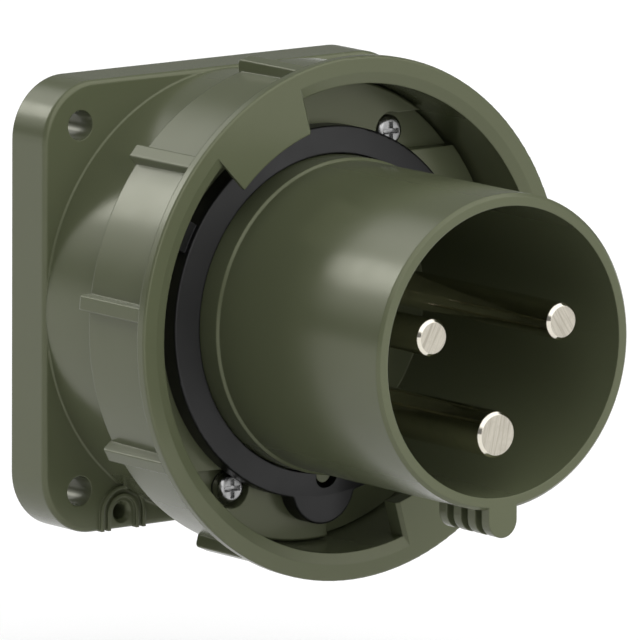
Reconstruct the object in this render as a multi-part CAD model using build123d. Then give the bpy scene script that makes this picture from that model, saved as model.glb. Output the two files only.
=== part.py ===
from build123d import *
from math import atan2, cos, degrees, radians, sin
import os

# Panel-mount power inlet with three pins, a sleeve and a turning bayonet ring.
# Lengths are millimetres. While a piece is drawn, X is to the right, Y is up and
# Z leaves the panel, with zero on the panel. It is turned into its place at the end.

# Square flange of the housing
flange_margin = 0.5
flange_thick = 11.8
flange_corner_r = 13.2
flange_edge_round = 1.1
flange_plate = 4.2
flange_rim_wall = 3.6
mount_hole_inset = 9.5
mount_hole_dia = 6.6
mount_boss_wall = 3.4

# Barrel of the housing, with the seat of the ring behind its front face
barrel_root_chamfer = 0.3
barrel_long = 23.9
shoulder_step = 2.1
neck_wall = 3.9
bore_from_screw = 0.3
screw_boss_r = 4.7
screw_boss_long = 14.0

# Eye for the lanyard screw of a cap, low on the flange
eye_from_side = 20.9
eye_from_edge = 3.7
eye_outer_r = 6.0
eye_ridge_wide = 0.8
eye_ridge_gap = 1.0
eye_ridge_high = 0.8
eye_mouth_r = 2.4
eye_mouth_deep = 1.0
eye_hole_dia = 3.4
eye_hole_deep = 7.0

# Gaskets
panel_gasket_wide = 2.0
panel_gasket_thick = 2.2
gasket_side_gap = 0.2
base_gasket_thick = 1.0
base_gasket_inset = 0.3
base_gasket_eye_r = 3.9

# Base flange of the sleeve
base_overhang = 1.5
base_thick = 5.3
base_edge_chamfer = 0.4
recess_deep = 3.3
recess_start_deg = 275.0
recess_span_deg = 52.0
channel_half = 4.3
channel_shift = 0.3

# Sleeve
sleeve_r = 33.95
sleeve_wall = 2.65
sleeve_deep = 67.4
sleeve_floor_thick = 4.3
sleeve_mouth_chamfer = 0.7
collar_step = 0.55
collar_long = 11.5
collar_chamfer = 0.5

# Key nose under the mouth of the sleeve
key_half_wide = 3.75
key_proud = 6.05
key_fin_thick = 2.6
key_fin_apart = 4.8
key_fin_count = 4

# Rubber face seal on the base flange
seal_inner_gap = 0.35
seal_wide = 5.75
seal_thick = 4.6
seal_edge_round = 0.5
seal_rise = 1.1
lobe_inset = 2.6
lobe_r = 8.4
lobe_blend = 1.2
lobe_deg = 270.0
stud_out = 1.45
stud_r = 1.9
stud_hole_gap = 1.05
stud_below_face = 0.5
tab_deg = 151.5
tab_half_wide = 3.3
tab_long = 4.7
tab_thick = 3.4

# Bayonet ring
ring_heel_thick = 3.2
ring_lead = 15.2
ring_side_gap = 0.5
ring_wall = 2.6
ring_draft = 0.4
ring_lip_proud = 3.4
ring_lip_wide = 2.3
ring_edge_round = 0.5
ring_mouth_step = 2.5
ring_mouth_deep = 0.7
ring_seat_gap = 0.2
ring_heel_gap = 0.4
rib_count = 10
rib_first_deg = 102.0
rib_high = 2.6
rib_top_wide = 3.1
rib_foot_wide = 3.8
rib_overhang = 0.9
rib_edge_round = 0.3
rib_end_round = 1.0
lug_count = 2
lug_first_deg = 120.0
lug_span_deg = 28.4
lug_reach = 7.8
lug_thick = 4.7
lug_thin = 1.2
lug_chamfer = 0.8
ring_turn_deg = 45.0
stop_deg = 90.0
stop_span_deg = 6.0
stop_proud = 1.1
stop_gap_deg = 1.0
stop_slot_gap = 0.4

# Pins, and the terminal behind each
pin_inset = 13.2
phase_pin_deg = 14.5
earth_pin_deg = 270.0
phase_pin_r = 4.0
earth_pin_r = 5.0
pin_behind_mouth = 2.0
pin_tip_chamfer = 0.65
pin_root_extra = 0.35
pin_root_proud = 0.3
pin_hole_gap = 0.1
pin_collar_extra = 2.4
pin_collar_thick = 3.0
terminal_wall = 3.0
terminal_long = 16.0
terminal_gap = 0.15
conductor_bore_r = 3.7
conductor_bore_deep = 15.5
clamp_screw_r = 2.5
clamp_screw_long = 6.0
clamp_screw_clear = 0.15
clamp_screw_first = 4.0
clamp_screw_apart = 7.0
clamp_screw_count = 2
clamp_slot_wide = 0.9
clamp_slot_deep = 1.2
clamp_access_extra = 0.9
thread_gap = 0.05

# Seals on the pins
pin_seal_cord_r = 0.85
pin_seal_gap = 0.05

# Contact carrier and the cover over the terminals
carrier_gap = 4.5
carrier_thick = 12.2
cover_wall = 3.0
cover_edge_round = 1.5
funnel_extra = 1.8
funnel_deep = 2.4
carrier_screw_out = 9.0
carrier_screw_degs = (90.0, 217.0, 323.0)
carrier_screw_r = 1.75
carrier_screw_head_r = 3.3
carrier_screw_head_thick = 2.4
carrier_screw_sink = 3.0
carrier_screw_bite = 3.0
carrier_screw_hole_gap = 0.15
boss_flat_gap = 0.6

# Screws through the base flange
screw_from_seal = 2.1
screw_degs = (60.0, 240.0)
screw_r = 1.95
screw_head_r = 3.5
screw_head_thick = 2.6
screw_head_round = 1.4
screw_hole_gap = 0.25
screw_long = 13.0
insert_r = 2.9
insert_long = 9.0
insert_hole_extra = 1.0
insert_collar_gap = 0.05
washer_r = 3.4
washer_thick = 0.6
cross_wide = 1.0
cross_long = 4.2
cross_deep = 1.1

# How far a cut runs past a face, and how closely an edge must match its size
cut_past = 1.0
edge_match = 0.01

# Radii that follow from the sizes above, from the sleeve outwards
sleeve_bore_r = sleeve_r - sleeve_wall
collar_r = sleeve_r + collar_step
seal_inner_r = collar_r + seal_inner_gap
seal_outer_r = seal_inner_r + seal_wide
screw_place_r = seal_outer_r + screw_from_seal
barrel_bore_r = screw_place_r + bore_from_screw
neck_r = barrel_bore_r + neck_wall
barrel_r = neck_r + shoulder_step
half_width = barrel_r + flange_margin
eye_x = eye_from_side - half_width
mount_apart = 2 * (half_width - mount_hole_inset)
base_r = barrel_r + base_overhang
ring_inner_r = base_r + ring_side_gap
ring_band_r = ring_inner_r + ring_wall
ring_lip_r = ring_band_r + ring_lip_proud
ring_mouth_r = ring_inner_r + ring_mouth_step
heel_bore_r = neck_r + ring_heel_gap
lug_tip_r = ring_inner_r - lug_reach
pin_place_r = sleeve_bore_r - pin_inset
carrier_r = barrel_bore_r - carrier_gap
carrier_screw_place_r = pin_place_r + carrier_screw_out

# Levels that follow from the sizes above, from the panel outwards
barrel_front = flange_thick + barrel_long
base_back = barrel_front + base_gasket_thick
base_front = base_back + base_thick
recess_level = base_front - recess_deep
floor_front = base_back + sleeve_floor_thick
sleeve_front = floor_front + sleeve_deep
collar_front = base_front + collar_long
seal_front = base_front + seal_thick
pin_tip = sleeve_front - pin_behind_mouth
heel_front = base_back - ring_seat_gap
ring_back = heel_front - ring_heel_thick
ring_front = base_front + ring_lead
shoulder_level = ring_back - ring_seat_gap
carrier_back = base_back - carrier_thick
terminal_back = carrier_back - terminal_long
cover_back = terminal_back - cover_wall


def polar(radius, angle):
    """Point at a radius and an angle from the X axis."""
    return (radius * cos(radians(angle)), radius * sin(radians(angle)))


def rod(radius, low, high, centre=(0, 0)):
    """Round bar along Z between two levels."""
    return Pos(centre[0], centre[1], low) * extrude(Circle(radius), high - low)


def tube(outer, inner, low, high):
    """Ring between two radii and two levels."""
    return rod(outer, low, high) - rod(inner, low - cut_past, high + cut_past)


def wedge(radius, low, high, start, span):
    """Pie slice from the axis, from one angle on through a span."""
    corner = radius / cos(radians(span / 4))
    points = [(0, 0), polar(radius, start), polar(corner, start + span / 4)]
    points += [polar(radius, start + span / 2), polar(corner, start + 3 * span / 4)]
    points += [polar(radius, start + span)]
    return Pos(0, 0, low) * extrude(make_face(Polyline(*points, close=True)), high - low)


def sector(outer, inner, low, high, start, span):
    """Part of a ring, from one angle on through a span."""
    return tube(outer, inner, low, high) & wedge(2 * outer, low - cut_past, high + cut_past, start, span)


def radial_box(inner, outer, half_wide, low, high, angle):
    """Bar that runs outwards from the axis at an angle."""
    bar = Box(outer - inner, 2 * half_wide, high - low, align=(Align.MIN, Align.CENTER, Align.MIN))
    return Rot(0, 0, angle) * Pos(inner, 0, low) * bar


def edges_at(part, level, radius):
    """Round edges of one radius at one level."""
    found = part.edges().filter_by(GeomType.CIRCLE)
    found = found.filter_by(lambda e: abs(e.radius - radius) < edge_match)
    return found.filter_by(lambda e: abs(e.center().Z - level) < edge_match)


def pin_places():
    """Name, centre, radius and outward angle of each pin."""
    left = polar(pin_place_r, 180 - phase_pin_deg)
    right = polar(pin_place_r, phase_pin_deg)
    earth = polar(pin_place_r, earth_pin_deg)
    return {
        "line": (left, phase_pin_r, 180 - phase_pin_deg),
        "neutral": (right, phase_pin_r, phase_pin_deg),
        "earth": (earth, earth_pin_r, earth_pin_deg),
    }


def terminal_r(pin_r):
    """Radius of the terminal barrel behind a pin."""
    return conductor_bore_r + terminal_wall + (pin_r - phase_pin_r) / 2


def pin_root_r(pin_r):
    """Radius of the thicker root by which a pin stands in the floor of the sleeve."""
    return pin_r + pin_root_extra


def seal_seat_r(pin_r):
    """Radius of the counterbore round a pin's rubber ring."""
    return pin_root_r(pin_r) + 2 * pin_seal_cord_r + 3 * pin_seal_gap


def stud_place():
    """Centre of the stud beside the collar and of the notch round it in the seal."""
    return polar(sleeve_r + stud_out, lobe_deg)


def eye_outline(radius):
    """Arch shape of one radius, open to the lower edge of the flange."""
    centre_y = -half_width + eye_from_edge
    legs = Pos(eye_x, centre_y) * Rectangle(2 * radius, eye_from_edge, align=(Align.CENTER, Align.MAX))
    arch = Pos(eye_x, centre_y) * Circle(radius)
    upper = Pos(eye_x, centre_y) * Rectangle(2 * radius, radius, align=(Align.CENTER, Align.MIN))
    return (arch & upper) + legs


def flange_blank(inset, low, high):
    """Square with rounded corners, smaller by an inset all round."""
    side = 2 * (half_width - inset)
    face = RectangleRounded(side, side, flange_corner_r - inset)
    return Pos(0, 0, low) * extrude(face, high - low)


def lanyard_eye(plate):
    """Adds the two arched ridges and the blind screw hole with its cone to the flange."""
    low = flange_thick - flange_plate / 2
    high = flange_thick + eye_ridge_high
    second_r = eye_outer_r - eye_ridge_wide - eye_ridge_gap
    for radius in (eye_outer_r, second_r):
        ridge = eye_outline(radius) - eye_outline(radius - eye_ridge_wide)
        plate += Pos(0, 0, low) * extrude(ridge, high - low)
    centre = (eye_x, -half_width + eye_from_edge)
    upside = (Align.CENTER, Align.CENTER, Align.MAX)
    mouth = Cone(eye_hole_dia / 2, eye_mouth_r, eye_mouth_deep, align=upside)
    plate -= Pos(centre[0], centre[1], flange_thick) * mouth
    return plate - rod(eye_hole_dia / 2, flange_thick - eye_hole_deep, flange_thick, centre)


def flange_housing():
    """One moulding: hollow square flange, barrel, neck and bosses for the inserts."""
    outer = flange_blank(0, 0, flange_thick)
    outer = fillet(outer.faces().sort_by(Axis.Z)[-1].edges(), flange_edge_round)
    pocket = flange_blank(flange_rim_wall, -cut_past, flange_thick - flange_plate)
    pocket -= rod(barrel_r, -2 * cut_past, flange_thick)
    for place in GridLocations(mount_apart, mount_apart, 2, 2):
        centre = (place.position.X, place.position.Y)
        pocket -= rod(mount_hole_dia / 2 + mount_boss_wall, -2 * cut_past, flange_thick, centre)
    eye_centre = (eye_x, -half_width + eye_from_edge)
    pocket -= rod(eye_outer_r, -2 * cut_past, flange_thick, eye_centre)
    body = lanyard_eye(outer - pocket)
    upright = (Align.CENTER, Align.CENTER, Align.MIN)
    root_r = barrel_r + barrel_root_chamfer
    root = Pos(0, 0, flange_thick) * Cone(root_r, barrel_r, barrel_root_chamfer, align=upright)
    body += root & flange_blank(flange_edge_round, 0, 2 * flange_thick)
    body += rod(barrel_r, 0, shoulder_level) + rod(neck_r, 0, barrel_front)
    body -= rod(barrel_bore_r, -cut_past, barrel_front + cut_past)
    boss_low = barrel_front - screw_boss_long
    for angle in screw_degs:
        boss = rod(screw_boss_r, boss_low, barrel_front, polar(screw_place_r, angle))
        body += boss & rod(neck_r, boss_low, barrel_front)
    for angle in screw_degs:
        hole_low = barrel_front - insert_long - insert_hole_extra
        body -= rod(insert_r, hole_low, barrel_front + cut_past, polar(screw_place_r, angle))
    for place in GridLocations(mount_apart, mount_apart, 2, 2):
        centre = (place.position.X, place.position.Y)
        body -= rod(mount_hole_dia / 2, -cut_past, flange_thick + cut_past, centre)
    groove_mid = (barrel_r + barrel_bore_r) / 2
    groove_half = panel_gasket_wide / 2 + gasket_side_gap
    body -= tube(groove_mid + groove_half, groove_mid - groove_half, -cut_past, panel_gasket_thick)
    nib_outer = neck_r + stop_proud
    nib_start = stop_deg - stop_span_deg / 2
    nib_inner = neck_r - neck_wall / 2
    nib = sector(nib_outer, nib_inner, shoulder_level - cut_past, barrel_front, nib_start, stop_span_deg)
    return body + nib


def panel_gasket():
    """Square-section rubber ring in the groove on the back of the barrel."""
    middle = (barrel_r + barrel_bore_r) / 2
    half = panel_gasket_wide / 2
    return tube(middle + half, middle - half, 0, panel_gasket_thick)


def base_gasket():
    """Flat rubber ring on the front face of the barrel, with an eye round each screw."""
    ring = tube(neck_r - base_gasket_inset, barrel_bore_r + base_gasket_inset, barrel_front, base_back)
    for angle in screw_degs:
        eye = rod(base_gasket_eye_r, barrel_front, base_back, polar(screw_place_r, angle))
        ring += eye & rod(neck_r - base_gasket_inset, barrel_front, base_back)
    for angle in screw_degs:
        hole_r = screw_r + screw_hole_gap
        ring -= rod(hole_r, barrel_front - cut_past, base_back + cut_past, polar(screw_place_r, angle))
    return ring


def threaded_inserts():
    """Brass inserts in the bosses of the housing."""
    result = []
    for angle in screw_degs:
        centre = polar(screw_place_r, angle)
        low = barrel_front - insert_long
        body = rod(insert_r - insert_collar_gap, low, barrel_front, centre)
        result.append(body - rod(screw_r + thread_gap, low - cut_past, barrel_front + cut_past, centre))
    return result


def key_nose():
    """Round-ended tongue at the mouth and the fins of the same outline behind it."""
    end_centre = sleeve_r + key_proud - key_half_wide
    tongue = Pos(0, -end_centre) * Circle(key_half_wide)
    tongue += Rectangle(2 * key_half_wide, end_centre, align=(Align.CENTER, Align.MAX))
    outline = tongue - Circle(sleeve_r - sleeve_wall / 2)
    fins = []
    for index in range(key_fin_count):
        front = sleeve_front - index * key_fin_apart
        fins.append(Pos(0, 0, front - key_fin_thick) * extrude(outline, key_fin_thick))
    return fins


def plug_sleeve():
    """One moulding: base flange with recesses, collar, long sleeve, floor and key nose."""
    body = rod(base_r, base_back, base_front)
    body = chamfer(edges_at(body, base_front, base_r), base_edge_chamfer)
    cut_top = base_front + cut_past
    for start in (recess_start_deg, recess_start_deg - 180):
        body -= sector(base_r + cut_past, screw_place_r, recess_level, cut_top, start, recess_span_deg)
    for angle in screw_degs:
        x, y = polar(screw_place_r, angle)
        body -= rod(channel_half, recess_level, cut_top, (x, y))
        side = 1 if x > 0 else -1
        middle_y = y - side * channel_shift
        upright = (Align.CENTER, Align.CENTER, Align.MIN)
        slot = Box(base_r, 2 * channel_half, cut_top - recess_level, align=upright)
        body -= Pos(x + side * base_r / 2, middle_y, recess_level) * slot
    neck = rod(collar_r, base_back, collar_front)
    neck = chamfer(edges_at(neck, collar_front, collar_r), collar_chamfer)
    shell = rod(sleeve_r, base_back, sleeve_front)
    shell = chamfer(edges_at(shell, sleeve_front, sleeve_r), sleeve_mouth_chamfer)
    body += neck + shell
    for fin in key_nose():
        body += fin
    body += rod(stud_r, base_front - base_thick / 2, seal_front - stud_below_face, stud_place())
    body -= rod(sleeve_bore_r, floor_front, sleeve_front + cut_past)
    for centre, pin_r, angle in pin_places().values():
        hole_r = pin_root_r(pin_r) + pin_hole_gap
        body -= rod(hole_r, base_back - cut_past, floor_front + cut_past, centre)
        seat_front = base_back + 2 * pin_seal_cord_r + pin_seal_gap
        body -= rod(seal_seat_r(pin_r), base_back - cut_past, seat_front, centre)
    for angle in carrier_screw_degs:
        place = polar(carrier_screw_place_r, angle)
        body -= rod(carrier_screw_r, base_back - cut_past, base_back + carrier_screw_bite, place)
    for angle in screw_degs:
        hole_r = screw_r + screw_hole_gap
        body -= rod(hole_r, base_back - cut_past, base_front + cut_past, polar(screw_place_r, angle))
    return body


def face_seal():
    """Black rubber ring with a lobe round the stud's notch and a small lifting tab."""
    ring = rod(seal_outer_r, base_front, seal_front)
    ring += rod(lobe_r, base_front, seal_front, polar(seal_outer_r - lobe_inset, lobe_deg))
    ring = fillet(ring.edges().filter_by(Axis.Z).sort_by(Axis.Y)[:2], lobe_blend)
    ring = fillet(ring.faces().sort_by(Axis.Z)[-1].edges(), seal_edge_round)
    upright = (Align.CENTER, Align.CENTER, Align.MIN)
    rise = Cone(seal_outer_r - seal_edge_round, seal_inner_r, seal_rise, align=upright)
    ring += Pos(0, 0, seal_front) * rise
    seal_top = seal_front + seal_rise + cut_past
    tab_top = base_front + tab_thick
    tab_start = seal_outer_r - seal_wide / 2
    ring += radial_box(tab_start, seal_outer_r + tab_long, tab_half_wide, base_front, tab_top, tab_deg)
    ring -= rod(seal_inner_r, base_front - cut_past, seal_top)
    return ring - rod(stud_r + stud_hole_gap, base_front - cut_past, seal_top, stud_place())


def grip_rib(angle):
    """Slightly tapered rib along the band, rounded at its rear end and long edges."""
    sink = ring_wall / 2
    foot_r = ring_band_r - sink
    top_r = ring_band_r + rib_high
    top_half = rib_top_wide / 2
    foot_half = rib_foot_wide / 2 + (rib_foot_wide - rib_top_wide) / 2 * sink / rib_high
    points = [(foot_r, -foot_half), (top_r, -top_half), (top_r, top_half), (foot_r, foot_half)]
    low = ring_back - rib_overhang
    high = ring_front - ring_lip_wide / 2
    bar = Pos(0, 0, low) * extrude(make_face(Polyline(*points, close=True)), high - low)
    bar = fillet(bar.faces().sort_by(Axis.Z)[0].edges().sort_by(Axis.X)[-1:], rib_end_round)
    bar = fillet(bar.edges().filter_by(Axis.Z).sort_by(Axis.X)[-2:], rib_edge_round)
    return Rot(0, 0, angle) * bar


def lug(angle):
    """Inward lug flush with the ring's front, with a rear ramp and one front edge broken."""
    low = ring_front - lug_thick
    block = sector(ring_mouth_r, lug_tip_r, low, ring_front, -lug_span_deg / 2, lug_span_deg)
    side_edges = block.faces().sort_by(Axis.Z)[-1].edges().filter_by(GeomType.LINE)
    block = chamfer(side_edges.sort_by(Axis.Y)[0], lug_chamfer)
    run = 2 * lug_tip_r * sin(radians(lug_span_deg / 2))
    slope = degrees(atan2(lug_thick - lug_thin, run))
    below = Box(2 * ring_lip_r, 2 * run, ring_front, align=(Align.CENTER, Align.CENTER, Align.MAX))
    ramp = Pos(0, -run / 2, low) * Rot(slope, 0, 0) * Pos(0, run / 2, 0) * below
    return Rot(0, 0, angle) * (block - ramp)


def bayonet_ring():
    """Turning ring: band, front lip, heel behind the base flange, ribs and lugs."""
    lip_back = ring_front - ring_lip_wide
    profile = Polyline(
        (heel_bore_r, ring_back), (ring_band_r, ring_back), (ring_band_r + ring_draft, lip_back),
        (ring_lip_r, lip_back), (ring_lip_r, ring_front), (ring_mouth_r, ring_front),
        (ring_inner_r, ring_front - ring_mouth_deep), (ring_inner_r, heel_front), (heel_bore_r, heel_front),
        close=True)
    body = revolve(Plane.XZ * make_face(profile), Axis.Z)
    body = fillet(edges_at(body, ring_front, ring_lip_r), ring_edge_round)
    for index in range(rib_count):
        body += grip_rib(rib_first_deg + index * 360 / rib_count)
    for index in range(lug_count):
        body += lug(lug_first_deg + index * 360 / lug_count)
    slot_start = stop_deg - stop_span_deg / 2 - stop_gap_deg
    slot_span = stop_span_deg + ring_turn_deg + 2 * stop_gap_deg
    slot_r = neck_r + stop_proud + stop_slot_gap
    slot_low = ring_back - cut_past
    return body - sector(slot_r, neck_r - cut_past, slot_low, heel_front + cut_past, slot_start, slot_span)


def pin(name):
    """Turned contact: pin with a broken tip edge, thicker root, collar, and terminal barrel."""
    centre, pin_r, angle = pin_places()[name]
    barrel = terminal_r(pin_r)
    body = rod(pin_r, base_back, pin_tip)
    body = chamfer(edges_at(body, pin_tip, pin_r), pin_tip_chamfer)
    body += rod(pin_root_r(pin_r), base_back - pin_collar_thick / 2, floor_front + pin_root_proud)
    body += rod(pin_r + pin_collar_extra, base_back - pin_collar_thick, base_back)
    body += rod(barrel, terminal_back, base_back - pin_collar_thick)
    body -= rod(conductor_bore_r, terminal_back - cut_past, terminal_back + conductor_bore_deep)
    for level in clamp_levels():
        hole = rod(clamp_screw_r + thread_gap, 0, barrel + cut_past)
        body -= Pos(0, 0, level) * Rot(0, 0, angle) * Rot(0, 90, 0) * hole
    return Pos(centre[0], centre[1], 0) * body


def clamp_levels():
    """Heights of the clamp screws above the panel."""
    return [terminal_back + clamp_screw_first + i * clamp_screw_apart for i in range(clamp_screw_count)]


def clamp_screws(name):
    """Slotted set screws, backed out until the conductor's bore is free."""
    centre, pin_r, angle = pin_places()[name]
    inner_end = conductor_bore_r + clamp_screw_clear
    outer_end = inner_end + clamp_screw_long
    result = []
    for level in clamp_levels():
        screw = rod(clamp_screw_r, inner_end, outer_end)
        slot = Box(3 * clamp_screw_r, clamp_slot_wide, 2 * clamp_slot_deep)
        screw -= Pos(0, 0, outer_end) * slot
        turned = Rot(0, 0, angle) * Rot(0, 90, 0) * screw
        result.append(Pos(centre[0], centre[1], level) * turned)
    return result


def contact_carrier():
    """Insulating block under the floor of the sleeve that holds the pin collars."""
    body = rod(carrier_r, carrier_back, base_back)
    body -= carrier_flats(carrier_back, base_back)
    for centre, pin_r, angle in pin_places().values():
        pocket_r = max(pin_r + pin_collar_extra, terminal_r(pin_r)) + terminal_gap
        body -= rod(pocket_r, carrier_back - cut_past, base_back + cut_past, centre)
    for angle in carrier_screw_degs:
        hole_r = carrier_screw_r + carrier_screw_hole_gap
        place = polar(carrier_screw_place_r, angle)
        body -= rod(hole_r, carrier_back - cut_past, base_back + cut_past, place)
    return body


def carrier_flats(low, high):
    """Hollows in the rim that clear the bosses of the housing."""
    hollows = Part()
    hollow_r = screw_boss_r + boss_flat_gap
    for angle in screw_degs:
        hollows += rod(hollow_r, low - cut_past, high + cut_past, polar(screw_place_r, angle))
    return hollows


def terminal_cover():
    """Rear half of the insulation, with conductor funnels and screw tunnels."""
    body = rod(carrier_r, cover_back, carrier_back)
    body = fillet(edges_at(body, cover_back, carrier_r), cover_edge_round)
    body -= carrier_flats(cover_back, carrier_back)
    for centre, pin_r, angle in pin_places().values():
        pocket_r = terminal_r(pin_r) + terminal_gap
        body -= rod(pocket_r, terminal_back - terminal_gap, carrier_back + cut_past, centre)
        mouth_r = conductor_bore_r + funnel_extra
        funnel = Cone(mouth_r, conductor_bore_r, funnel_deep, align=(Align.CENTER, Align.CENTER, Align.MIN))
        body -= Pos(centre[0], centre[1], cover_back) * funnel
        body -= rod(conductor_bore_r, cover_back - cut_past, terminal_back + cut_past, centre)
        for level in clamp_levels():
            reach = 2 * carrier_r
            tunnel = rod(clamp_screw_r + clamp_access_extra, 0, reach)
            body -= Pos(centre[0], centre[1], level) * Rot(0, 0, angle) * Rot(0, 90, 0) * tunnel
    for angle in carrier_screw_degs:
        place = polar(carrier_screw_place_r, angle)
        hole_r = carrier_screw_r + carrier_screw_hole_gap
        body -= rod(hole_r, cover_back - cut_past, carrier_back + cut_past, place)
        head_r = carrier_screw_head_r + carrier_screw_hole_gap
        body -= rod(head_r, cover_back - cut_past, cover_back + carrier_screw_sink, place)
    return body


def carrier_screws():
    """Screws from the rear through the cover and carrier into the floor of the sleeve."""
    result = []
    for angle in carrier_screw_degs:
        seat = cover_back + carrier_screw_sink
        screw = rod(carrier_screw_r, seat, base_back + carrier_screw_bite - carrier_screw_hole_gap)
        screw += rod(carrier_screw_head_r, seat - carrier_screw_head_thick, seat)
        slot = Box(3 * carrier_screw_head_r, cross_wide, 2 * cross_deep)
        screw -= Pos(0, 0, seat - carrier_screw_head_thick) * slot
        x, y = polar(carrier_screw_place_r, angle)
        result.append(Pos(x, y, 0) * screw)
    return result


def sleeve_screws():
    """Pan-head cross screws that hold the sleeve to the housing."""
    result = []
    seat = recess_level + washer_thick
    for angle in screw_degs:
        head = rod(screw_head_r, seat, seat + screw_head_thick)
        head = fillet(edges_at(head, seat + screw_head_thick, screw_head_r), screw_head_round)
        screw = head + rod(screw_r, seat - screw_long, seat)
        for turn in (0, 90):
            arm = Box(cross_long, cross_wide, 2 * cross_deep)
            screw -= Pos(0, 0, seat + screw_head_thick) * Rot(0, 0, turn) * arm
        x, y = polar(screw_place_r, angle)
        result.append(Pos(x, y, 0) * screw)
    return result


def screw_sealing_washers():
    """Rubber washers under the heads of the sleeve screws."""
    result = []
    for angle in screw_degs:
        centre = polar(screw_place_r, angle)
        disc = rod(washer_r, recess_level, recess_level + washer_thick, centre)
        result.append(disc - rod(screw_r + thread_gap, 0, base_front, centre))
    return result


def pin_seals(names):
    """Rubber rings round the pins, in the counterbores under the sleeve's floor."""
    result = []
    for name in names:
        centre, pin_r, angle = pin_places()[name]
        middle = pin_root_r(pin_r) + pin_seal_cord_r + pin_seal_gap
        ring = Torus(middle, pin_seal_cord_r)
        result.append(Pos(centre[0], centre[1], base_back + pin_seal_cord_r + pin_seal_gap / 2) * ring)
    return result


def stand_up(shape):
    """Turns a drawn piece so that it leaves the panel along the negative Y axis."""
    return Rot(90, 0, 0) * shape


def write(name, pieces):
    """Writes one node, of one solid or several alike."""
    solids = [solid for piece in pieces for solid in stand_up(piece).solids()]
    shape = solids[0] if len(solids) == 1 else Compound(children=solids)
    shape.label = name
    export_step(shape, f"parts/{name}.step")


os.makedirs("parts", exist_ok=True)
write("flange_housing", [flange_housing()])
write("panel_gasket", [panel_gasket()])
write("base_gasket", [base_gasket()])
write("threaded_inserts", threaded_inserts())
write("plug_sleeve", [plug_sleeve()])
write("face_seal", [face_seal()])
write("bayonet_ring", [bayonet_ring()])
write("contact_carrier", [contact_carrier()])
write("terminal_cover", [terminal_cover()])
for pin_name in pin_places():
    write(f"{pin_name}_pin", [pin(pin_name)])
    write(f"{pin_name}_clamp_screws", clamp_screws(pin_name))
write("carrier_screws", carrier_screws())
write("sleeve_screws", sleeve_screws())
write("screw_sealing_washers", screw_sealing_washers())
write("phase_pin_seals", pin_seals(["line", "neutral"]))
write("earth_pin_seal", pin_seals(["earth"]))
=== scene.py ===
from math import cos, radians, sin

import bmesh
import bpy
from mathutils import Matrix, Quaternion, Vector


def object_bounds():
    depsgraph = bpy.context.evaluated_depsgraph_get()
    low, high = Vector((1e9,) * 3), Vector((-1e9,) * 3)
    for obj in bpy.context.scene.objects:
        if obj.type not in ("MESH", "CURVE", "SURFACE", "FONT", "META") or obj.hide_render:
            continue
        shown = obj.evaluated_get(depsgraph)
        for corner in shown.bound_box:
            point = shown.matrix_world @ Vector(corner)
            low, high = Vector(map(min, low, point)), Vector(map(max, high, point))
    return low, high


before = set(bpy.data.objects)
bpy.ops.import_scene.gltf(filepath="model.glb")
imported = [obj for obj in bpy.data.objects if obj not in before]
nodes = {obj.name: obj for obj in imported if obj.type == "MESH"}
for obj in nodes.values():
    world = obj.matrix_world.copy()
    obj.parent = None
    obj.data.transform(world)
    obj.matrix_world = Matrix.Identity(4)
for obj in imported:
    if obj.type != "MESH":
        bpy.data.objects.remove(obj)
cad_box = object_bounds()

# Flange housing: the hollow square flange, the barrel with its neck and bosses, and the
# lanyard eye are one injection moulding in olive glass-filled plastic. Its skin is satin
# and finely grained, a little cloudy in tone, and carries a painted highlight: a lighter
# tone in patches along its rounded edges.
OLIVE = (0.112, 0.125, 0.071, 1.0)
# Lighter tone painted along rounded edges as a highlight.
OLIVE_EDGE_HIGHLIGHT = (0.175, 0.190, 0.118, 1.0)
OLIVE_SHINE = (1.0, 1.0, 0.78, 1.0)
OLIVE_ROUGH = (0.21, 0.25)
CLOUD_SCALE = 55.0
CLOUD_SHADE = 0.72
SHINE_SCALE = 130.0
CLOUD_SPAN = (0.35, 0.65)
# Size and span of the patches in the painted edge highlight.
EDGE_HIGHLIGHT_SCALE = 240.0
EDGE_HIGHLIGHT_SPAN = (0.30, 0.62)
GRAIN_HEIGHT = 0.00004
EDGE_RADIUS = 0.0004
EDGE_SAMPLES = 6
# Cosine between a face and its rounded normal, where the painted edge highlight starts and where it is
# full.
EDGE_COSINES = (0.985, 0.80)


def feed(tree, socket, value):
    """Gives a socket a plain value, or a link from another socket."""
    if isinstance(value, bpy.types.NodeSocket):
        tree.links.new(value, socket)
    else:
        socket.default_value = value


def add_node(tree, kind, **values):
    """Adds a shader node and feeds the sockets that are named."""
    node = tree.nodes.new("ShaderNode" + kind)
    for label, value in values.items():
        feed(tree, node.inputs[label.replace("_", " ")], value)
    return node


def cloud(tree, place, scale, detail=3.0, roughness=0.5):
    """Noise over a place, from 0 to 1."""
    noise = add_node(tree, "TexNoise", Vector=place, Scale=scale, Detail=detail, Roughness=roughness)
    return noise.outputs["Fac"]


def stretch(tree, value, low, high, to_low=0.0, to_high=1.0):
    """Maps a value from one span to another, held at both ends."""
    spread = add_node(
        tree, "MapRange", Value=value, From_Min=low, From_Max=high, To_Min=to_low, To_Max=to_high)
    return spread.outputs["Result"]


def calculate(tree, operation, *values):
    """One step of arithmetic on sockets or numbers."""
    step = add_node(tree, "Math")
    step.operation = operation
    for socket, value in zip(step.inputs, values):
        feed(tree, socket, value)
    return step.outputs["Value"]


def blend(tree, kind, factor, first, second):
    """Mixes two values, of kind FLOAT, or two colours, of kind RGBA."""
    mixer = add_node(tree, "Mix")
    mixer.data_type = kind
    for label, value in (("Factor", factor), ("A", first), ("B", second)):
        feed(tree, mixer.inputs[label], value)
    return mixer.outputs["Result"]


def compare(tree, direction, other):
    """Cosine between two directions."""
    product = add_node(tree, "VectorMath")
    product.operation = "DOT_PRODUCT"
    for socket, value in zip(product.inputs, (direction, other)):
        feed(tree, socket, value)
    return product.outputs["Value"]


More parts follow.
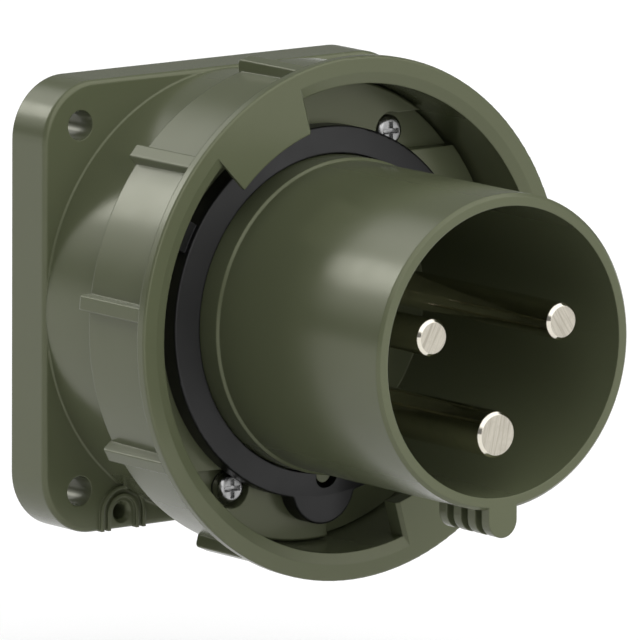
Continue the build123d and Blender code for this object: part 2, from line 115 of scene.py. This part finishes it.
def round_edges(tree, radius):
    """Normals that run round the edges with a radius."""
    rounded = add_node(tree, "Bevel", Radius=radius)
    rounded.samples = EDGE_SAMPLES
    return rounded.outputs["Normal"]


def roughen(tree, height, strength, distance, normal):
    """Bumps a normal by a height."""
    bump = add_node(tree, "Bump", Height=height, Strength=strength, Distance=distance, Normal=normal)
    return bump.outputs["Normal"]


def start_finish(name, inputs):
    """Starts a finish group: its tree, the values given to it, the place and the results."""
    group = bpy.data.node_groups.new(name, "ShaderNodeTree")
    for label, value in inputs.items():
        kind = "NodeSocketFloat" if isinstance(value, float) else "NodeSocketColor"
        socket = group.interface.new_socket(name=label, in_out="INPUT", socket_type=kind)
        socket.default_value = value
    for label, kind in (("Color", "Color"), ("Roughness", "Float"), ("Normal", "Vector")):
        group.interface.new_socket(name=label, in_out="OUTPUT", socket_type="NodeSocket" + kind)
    given = group.nodes.new("NodeGroupInput").outputs
    result = group.nodes.new("NodeGroupOutput").inputs
    place = add_node(group, "TexCoord").outputs["Object"]
    return group, given, place, result


def build_moulded_skin():
    """Moulded skin: cloudy tone, fine grain, a painted highlight on rounded edges and patches of more
    shine.
    """
    group, given, place, result = start_finish("moulded_skin", {
        "Tone": OLIVE, "Handled Tone": OLIVE_EDGE_HIGHLIGHT, "Handled Amount": 0.4, "Cloud Amount": 0.06,
        "Grain Scale": 2600.0, "Grain Depth": 0.04,
        "Rough Low": OLIVE_ROUGH[0], "Rough High": OLIVE_ROUGH[1]})

    darker = add_node(group, "HueSaturation", Value=CLOUD_SHADE, Color=given["Tone"])
    clouds = stretch(group, cloud(group, place, CLOUD_SCALE, detail=4.0), *CLOUD_SPAN)
    clouds = calculate(group, "MULTIPLY", clouds, given["Cloud Amount"])
    toned = blend(group, "RGBA", clouds, given["Tone"], darker.outputs["Color"])

    # Painted highlight: the tone is lightened along rounded edges, in patches.
    rounded = round_edges(group, EDGE_RADIUS)
    flat = add_node(group, "NewGeometry").outputs["Normal"]
    edge = stretch(group, compare(group, rounded, flat), *EDGE_COSINES)
    patchy = stretch(group, cloud(group, place, EDGE_HIGHLIGHT_SCALE, detail=5.0), *EDGE_HIGHLIGHT_SPAN)
    edge_highlight = calculate(group, "MULTIPLY", edge, patchy)
    edge_highlight = calculate(group, "MULTIPLY", edge_highlight, given["Handled Amount"])
    feed(group, result["Color"], blend(group, "RGBA", edge_highlight, toned, given["Handled Tone"]))

    patches = cloud(group, place, SHINE_SCALE, detail=4.0)
    shine = stretch(group, patches, *CLOUD_SPAN, given["Rough Low"], given["Rough High"])
    feed(group, result["Roughness"], shine)

    grain = cloud(group, place, given["Grain Scale"], detail=2.0)
    grained = roughen(group, grain, given["Grain Depth"], GRAIN_HEIGHT, rounded)
    feed(group, result["Normal"], grained)
    return group


def shader_inputs(material):
    """Sockets of a material's Principled shader."""
    return material.node_tree.nodes["Principled BSDF"].inputs


def new_material(name, finish=None, **settings):
    """Material with a Principled shader, fed by a finish group with its own values."""
    material = bpy.data.materials.new(name)
    material.use_nodes = True
    if finish:
        tree = material.node_tree
        skin = tree.nodes.new("ShaderNodeGroup")
        skin.node_tree = finish
        for label, value in settings.items():
            skin.inputs[label.replace("_", " ")].default_value = value
        for label, target in (("Color", "Base Color"), ("Roughness", "Roughness"), ("Normal", "Normal")):
            feed(tree, shader_inputs(material)[target], skin.outputs[label])
    return material


def dress(material, *names):
    """Gives CAD nodes their finish."""
    for name in names:
        mesh = nodes[name].data
        mesh.materials.clear()
        mesh.materials.append(material)


moulded_skin = build_moulded_skin()
olive_plastic = new_material("olive_plastic", moulded_skin)
shader_inputs(olive_plastic)["Specular Tint"].default_value = OLIVE_SHINE
dress(olive_plastic, "flange_housing")

# Threaded inserts: turned brass, set into the two bosses of the housing for the screws
# that hold the sleeve.
BRASS = (0.60, 0.42, 0.16, 1.0)
BRASS_STAIN = (0.36, 0.24, 0.10, 1.0)
# Cosine between a face's normal and the Y axis, where an end starts and where it is full.
END_COSINES = (0.90, 0.97)
# How far the noise is drawn out along X, Y and Z into lines and rings.
END_LINES = (1.0, 8.0, 22.0)
SIDE_RINGS = (30.0, 1.0, 30.0)
LINE_HEIGHT = 0.0001
SCORE_SPAN = (0.42, 0.68)
SPOT_SCALE = 320.0
SPOT_SPAN = (0.5, 0.8)
METAL_SHINE_SCALE = 500.0
END_ROUGHER = 0.08
METAL_EDGE_RADIUS = 0.0003


def draw_lines(tree, place, turn, drawn_out, scale):
    """Noise that is drawn out into lines, and turned."""
    drawn = add_node(tree, "Mapping", Vector=place, Rotation=turn, Scale=drawn_out)
    drawn.vector_type = "TEXTURE"
    return cloud(tree, drawn.outputs["Vector"], scale)


def build_worked_metal():
    """Worked metal: fine lines across the end faces, turned rings round the sides, stains."""
    group, given, place, result = start_finish("worked_metal", {
        "Tone": BRASS, "Stain": BRASS_STAIN, "Stain Amount": 0.5, "End Dullness": 0.0,
        "Line Scale": 900.0, "Line Depth": 0.1, "Line Turn": 0.4,
        "Rough Low": 0.25, "Rough High": 0.4})
    flat = add_node(group, "NewGeometry").outputs["Normal"]
    along = add_node(group, "SeparateXYZ", Vector=flat).outputs["Y"]
    end_face = stretch(group, calculate(group, "ABSOLUTE", along), *END_COSINES)

    turn = add_node(group, "CombineXYZ", Y=given["Line Turn"]).outputs["Vector"]
    across = draw_lines(group, place, turn, END_LINES, given["Line Scale"])
    around = draw_lines(group, place, turn, SIDE_RINGS, given["Line Scale"])
    lines = blend(group, "FLOAT", end_face, around, across)

    spots = stretch(group, cloud(group, place, SPOT_SCALE, detail=5.0, roughness=0.6), *SPOT_SPAN)
    scored = calculate(group, "MULTIPLY", stretch(group, lines, *SCORE_SPAN), end_face)
    stained = calculate(group, "MAXIMUM", spots, scored)
    stained = calculate(group, "MULTIPLY", stained, given["Stain Amount"])
    dulled = calculate(group, "MULTIPLY", end_face, given["End Dullness"])
    stained = calculate(group, "ADD", stained, dulled)
    feed(group, result["Color"], blend(group, "RGBA", stained, given["Tone"], given["Stain"]))

    patches = cloud(group, place, METAL_SHINE_SCALE, detail=4.0)
    shine = stretch(group, patches, *CLOUD_SPAN, given["Rough Low"], given["Rough High"])
    duller = calculate(group, "MULTIPLY", end_face, END_ROUGHER)
    feed(group, result["Roughness"], calculate(group, "ADD", shine, duller))

    rounded = round_edges(group, METAL_EDGE_RADIUS)
    lined = roughen(group, lines, given["Line Depth"], LINE_HEIGHT, rounded)
    feed(group, result["Normal"], lined)
    return group


worked_metal = build_worked_metal()


def metal_material(name, **settings):
    """Material of bare or plated metal, from the metal group with its own values."""
    material = new_material(name, worked_metal, **settings)
    shader_inputs(material)["Metallic"].default_value = 1.0
    return material


brass_insert = metal_material("brass_insert", Tone=BRASS, Stain=BRASS_STAIN)
dress(brass_insert, "threaded_inserts")

# Panel gasket and base gasket: black moulded rubber rings, one in the groove at the back
# of the barrel, the other flat on its front face. Matt, with a soft grey painted highlight
# along the rounded edges.
RUBBER = (0.0085, 0.0085, 0.0088, 1.0)
# Grey painted highlight along the rubber's rounded edges.
RUBBER_EDGE_HIGHLIGHT = (0.030, 0.030, 0.031, 1.0)
RUBBER_GLOSS = 0.42
black_rubber = new_material(
    "black_rubber", moulded_skin, Tone=RUBBER, Handled_Tone=RUBBER_EDGE_HIGHLIGHT, Handled_Amount=0.5,
    Cloud_Amount=0.3, Grain_Scale=1500.0, Grain_Depth=0.08, Rough_Low=0.33, Rough_High=0.42)
shader_inputs(black_rubber)["Specular IOR Level"].default_value = RUBBER_GLOSS
dress(black_rubber, "panel_gasket", "base_gasket")

# Bayonet ring: the second olive moulding, with two ramped lugs inside and grip ribs round
# its band. It goes over the neck of the housing before the sleeve closes it in, and turns
# there, on a body of its own.
dress(olive_plastic, "bayonet_ring")

# Plug sleeve: the third olive moulding, with its base flange, collar, floor and key nose
# in one piece, of the same compound as the housing.
dress(olive_plastic, "plug_sleeve")

# Contact pins: turned brass with a nickel plating, put into the sleeve from behind. The
# shank is smooth and mirrors the dark sleeve, and the end face keeps the slanting lines
# of its facing cut.
NICKEL = (0.76, 0.72, 0.62, 1.0)
NICKEL_SCORED = (0.38, 0.35, 0.29, 1.0)
FACING_TURN = {"line_pin": 28.0, "neutral_pin": -32.0, "earth_pin": 12.0}
for pin_name, facing_turn in FACING_TURN.items():
    nickel_plate = metal_material(
        "nickel_" + pin_name, Tone=NICKEL, Stain=NICKEL_SCORED, Stain_Amount=0.35, End_Dullness=0.5,
        Line_Scale=2200.0, Line_Depth=0.04, Line_Turn=radians(facing_turn),
        Rough_Low=0.07, Rough_High=0.12)
    dress(nickel_plate, pin_name)

# Pin seals: rubber rings of the same compound as the gaskets, round the pins in the
# counterbores under the sleeve's floor.
dress(black_rubber, "phase_pin_seals", "earth_pin_seal")

# Contact carrier and terminal cover: the block that holds the pins' collars and the rear
# half of the insulation, both in grey glass-filled polyamide. They are seen from the rear
# only, and are duller and coarser than the olive mouldings.
CARRIER_GREY = (0.115, 0.120, 0.125, 1.0)
# Lighter grey painted highlight along the carrier's rounded edges.
CARRIER_EDGE_HIGHLIGHT = (0.20, 0.21, 0.215, 1.0)
grey_plastic = new_material(
    "grey_plastic", moulded_skin, Tone=CARRIER_GREY, Handled_Tone=CARRIER_EDGE_HIGHLIGHT, Handled_Amount=0.7,
    Cloud_Amount=0.3, Grain_Scale=1400.0, Grain_Depth=0.15, Rough_Low=0.42, Rough_High=0.56)
dress(grey_plastic, "contact_carrier", "terminal_cover")

# Carrier screws and clamp screws: slotted, zinc-plated steel, duller than the screws in
# front. The first go through cover and carrier into the sleeve's floor, and the others
# clamp the conductors in the terminals.
ZINC = (0.50, 0.51, 0.53, 1.0)
ZINC_STAIN = (0.33, 0.33, 0.34, 1.0)
zinc_steel = metal_material(
    "zinc_steel", Tone=ZINC, Stain=ZINC_STAIN, Line_Depth=0.12, Rough_Low=0.28, Rough_High=0.45)
dress(zinc_steel, "line_clamp_screws", "neutral_clamp_screws", "earth_clamp_screws", "carrier_screws")

# Sleeve screws with their sealing washers: two pan-head cross screws in bright plated
# steel, driven through the base flange into the brass inserts, on rubber washers.
SCREW_STEEL = (0.42, 0.42, 0.42, 1.0)
SCREW_STAIN = (0.30, 0.30, 0.30, 1.0)
bright_steel = metal_material(
    "bright_steel", Tone=SCREW_STEEL, Stain=SCREW_STAIN, Stain_Amount=0.8,
    Line_Scale=1200.0, Line_Depth=0.10, Rough_Low=0.16, Rough_High=0.30)
dress(bright_steel, "sleeve_screws")
dress(black_rubber, "screw_sealing_washers")

# Face seal: the flat black rubber ring with its lobe, stretched over the collar against
# the base flange. Its front rises a little towards the collar.
dress(black_rubber, "face_seal")

# Floor: a plain pale sheet under and behind the object. It shows white to the camera
# and in the metal, keeps the object's shadow, and is clear from below.
FLOOR_DROP = 0.035
FLOOR_HALF = 6.0
FLOOR_PALE = (0.62, 0.62, 0.62, 1.0)
FLOOR_ROUGH = 0.9
FLOOR_LIFT = 0.49
WHITE = (1.0, 1.0, 1.0, 1.0)
floor_mesh = bpy.data.meshes.new("floor")
sheet = bmesh.new()
bmesh.ops.create_grid(sheet, x_segments=1, y_segments=1, size=FLOOR_HALF)
bmesh.ops.translate(sheet, verts=sheet.verts, vec=(0.0, 0.0, cad_box[0][2] - FLOOR_DROP))
sheet.to_mesh(floor_mesh)
sheet.free()
floor = bpy.data.objects.new("floor", floor_mesh)
bpy.context.scene.collection.objects.link(floor)

floor_paint = new_material("floor_paint")
paint = floor_paint.node_tree
painted = shader_inputs(floor_paint)
painted["Base Color"].default_value = FLOOR_PALE
painted["Roughness"].default_value = FLOOR_ROUGH
painted["Specular IOR Level"].default_value = 0.0
painted["Emission Color"].default_value = WHITE
rays = add_node(paint, "LightPath").outputs
seen = calculate(paint, "MAXIMUM", rays["Is Camera Ray"], rays["Is Glossy Ray"])
seen = calculate(paint, "MAXIMUM", seen, rays["Is Transmission Ray"])
feed(paint, painted["Emission Strength"], calculate(paint, "MULTIPLY", seen, FLOOR_LIFT))
from_below = add_node(paint, "NewGeometry").outputs["Backfacing"]
clear = add_node(paint, "BsdfTransparent").outputs["BSDF"]
solid = paint.nodes["Principled BSDF"].outputs["BSDF"]
surface = add_node(paint, "MixShader", Fac=from_below)
feed(paint, surface.inputs[1], solid)
feed(paint, surface.inputs[2], clear)
feed(paint, paint.nodes["Material Output"].inputs["Surface"], surface.outputs["Shader"])
floor_mesh.materials.append(floor_paint)

# Room: dim and even, with one broad soft light in front and above, and a smaller one
# behind the left shoulder with a lamp in its middle, for the long highlights. The
# backdrop is white to the camera, and at the horizon in the metal too.
ROOM_LEVEL = 0.21
FRONT_LEVEL = 1.39
FRONT_TOWARDS = (9.0, 46.0)
FRONT_SPREAD = (0.60, 0.72)
BACK_LEVEL = 1.9
BACK_TOWARDS = (-160.0, 32.0)
BACK_SPREAD = (0.87, 0.985)
HORIZON_BAND = 0.02
LAMP_TOWARDS = (-153.0, 28.0)
LAMP_DISTANCE = 1.5
LAMP_WIDTH = 0.40
LAMP_POWER = 1.5


def towards(azimuth, elevation):
    """Unit vector from the object: azimuth 0 is in front of the pins, 90 to the right."""
    return Vector((
        sin(radians(azimuth)) * cos(radians(elevation)),
        -cos(radians(azimuth)) * cos(radians(elevation)),
        sin(radians(elevation))))


world = bpy.data.worlds.new("room")
bpy.context.scene.world = world
world.use_nodes = True
room = world.node_tree
outward = add_node(room, "TexCoord").outputs["Generated"]
light = ROOM_LEVEL
for direction, spread, brightness in (
        (FRONT_TOWARDS, FRONT_SPREAD, FRONT_LEVEL), (BACK_TOWARDS, BACK_SPREAD, BACK_LEVEL)):
    glow = stretch(room, compare(room, outward, towards(*direction)), *spread, 0.0, brightness)
    light = calculate(room, "ADD", glow, light)
height = add_node(room, "SeparateXYZ", Vector=outward).outputs["Z"]
horizon = stretch(room, calculate(room, "ABSOLUTE", height), HORIZON_BAND, 0.0)
rays = add_node(room, "LightPath").outputs
mirrored = calculate(room, "MULTIPLY", rays["Is Glossy Ray"], horizon)
shown = calculate(room, "MAXIMUM", rays["Is Camera Ray"], rays["Is Transmission Ray"])
shown = calculate(room, "MAXIMUM", shown, mirrored)
backdrop = room.nodes["Background"].inputs
backdrop["Color"].default_value = WHITE
feed(room, backdrop["Strength"], blend(room, "FLOAT", shown, light, 1.0))

middle = (Vector(cad_box[0]) + Vector(cad_box[1])) / 2
away = towards(*LAMP_TOWARDS)
lamp_data = bpy.data.lights.new("back_lamp", "AREA")
lamp_data.shape = "DISK"
lamp_data.size = LAMP_WIDTH
lamp_data.energy = LAMP_POWER
lamp = bpy.data.objects.new("back_lamp", lamp_data)
bpy.context.scene.collection.objects.link(lamp)
lamp.location = middle + away * LAMP_DISTANCE
lamp.rotation_euler = away.to_track_quat("Z", "Y").to_euler()

# Camera: far away with a long lens, as the photograph was drawn: nearly parallel
# lines, from the left of the axis and a little above it.
CAMERA_TOWARDS = (-37.801, 9.721)
CAMERA_ROLL = 0.321
CAMERA_DISTANCE = 2.70686
CAMERA_REACH = (0.05, 20.0)
LENS_PIXELS = 12554.0
PHOTO_SIDE = 640
SENSOR = 36.0
TARGET = Vector((0.000498, -0.044088, -0.002051))
camera_back = towards(*CAMERA_TOWARDS)
camera_data = bpy.data.cameras.new("camera")
camera_data.sensor_width = SENSOR
camera_data.lens = LENS_PIXELS / PHOTO_SIDE * SENSOR
camera_data.clip_start, camera_data.clip_end = CAMERA_REACH
camera = bpy.data.objects.new("camera", camera_data)
bpy.context.scene.collection.objects.link(camera)
camera.location = TARGET + camera_back * CAMERA_DISTANCE
upright = camera_back.to_track_quat("Z", "Y")
camera.rotation_euler = (upright @ Quaternion((0.0, 0.0, 1.0), radians(CAMERA_ROLL))).to_euler()
bpy.context.scene.camera = camera
bpy.context.scene.view_settings.view_transform = "Standard"
